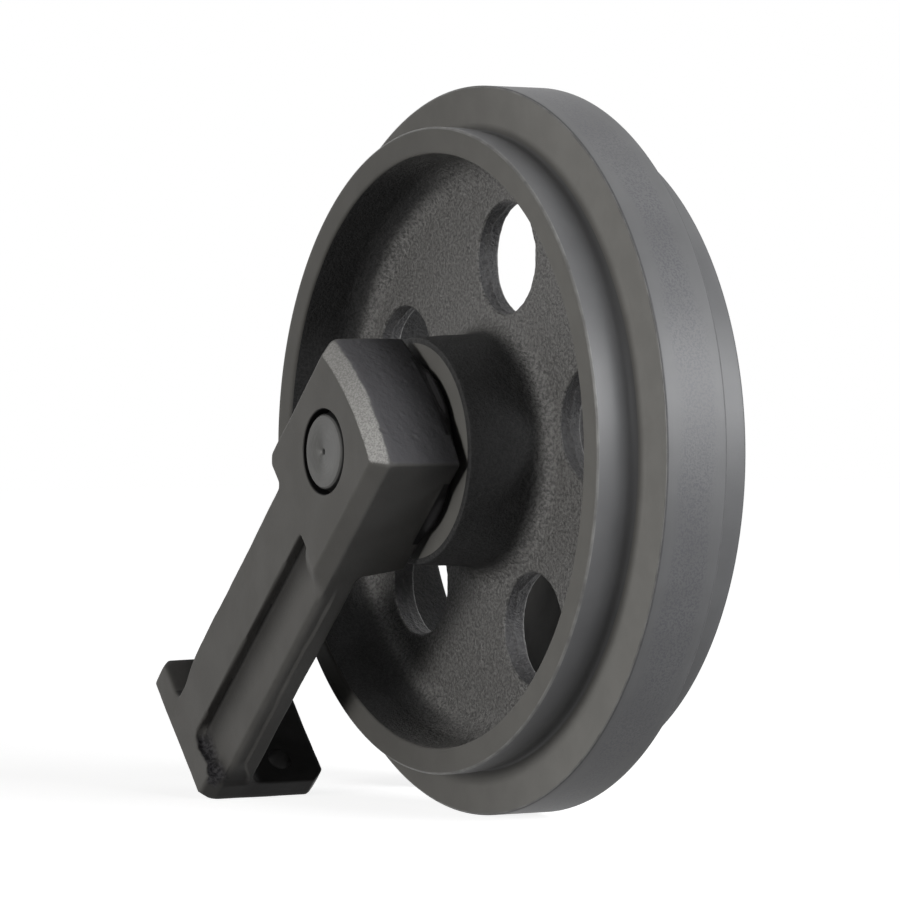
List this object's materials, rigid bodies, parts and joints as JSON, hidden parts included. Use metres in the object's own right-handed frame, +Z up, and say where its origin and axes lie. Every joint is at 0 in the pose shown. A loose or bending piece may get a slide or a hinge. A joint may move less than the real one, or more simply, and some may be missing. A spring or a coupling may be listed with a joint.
{
  "type": "excavator front idler",
  "caption": "Flanged cast idler wheel with cored web holes, turning on a sealed oil-filled shaft held by forged side brackets that bolt to a tracked excavator's recoil yoke.",
  "frame": {"origin": "centre of the idler wheel, on its axis", "axes": "+Y along the wheel's axis to the machine's left, +X forward, +Z up; the brackets run back and down to their feet, which stand on the floor with the flange"},
  "size_m": [0.5121, 0.275, 0.5],
  "materials": {
    "wheel_casting": "machined rim and treads, sand-cast web and hub, thin dark grey primer",
    "bracket_forging": "forged steel under thin dark grey primer, ground outer face",
    "bright_steel": "turned steel with a thin film of grey primer on the ends",
    "plug_steel": "blackened steel",
    "soft_washer": "soft metal",
    "bush_bronze": "bronze lining on a steel back",
    "spring_steel": "oil-blackened spring steel",
    "seal_iron": "lapped hard iron",
    "seal_rubber": "smooth nitrile rubber"
  },
  "bodies": {
    "carrier": {"shaft": "bright_steel", "oil_plug": "plug_steel", "oil_plug_seal": "soft_washer", "bracket_right": "bracket_forging", "bracket_left": "bracket_forging", "lock_pin_right": "spring_steel", "lock_pin_left": "spring_steel", "seal_ring_fixed_right": "seal_iron", "seal_ring_fixed_left": "seal_iron", "seal_toric_fixed_right": "seal_rubber", "seal_toric_fixed_left": "seal_rubber", "shaft_oring_right": "seal_rubber", "shaft_oring_left": "seal_rubber"},
    "wheel": {"idler_wheel": "wheel_casting", "bushing_right": "bush_bronze", "bushing_left": "bush_bronze", "seal_ring_rotating_right": "seal_iron", "seal_ring_rotating_left": "seal_iron", "seal_toric_rotating_right": "seal_rubber", "seal_toric_rotating_left": "seal_rubber"}
  },
  "joints": [
    {"name": "wheel_spin", "type": "hinge", "parent": "carrier", "child": "wheel", "pos_m": [0, 0, 0], "axis": [0, 1, 0], "continuous": true}
  ]
}
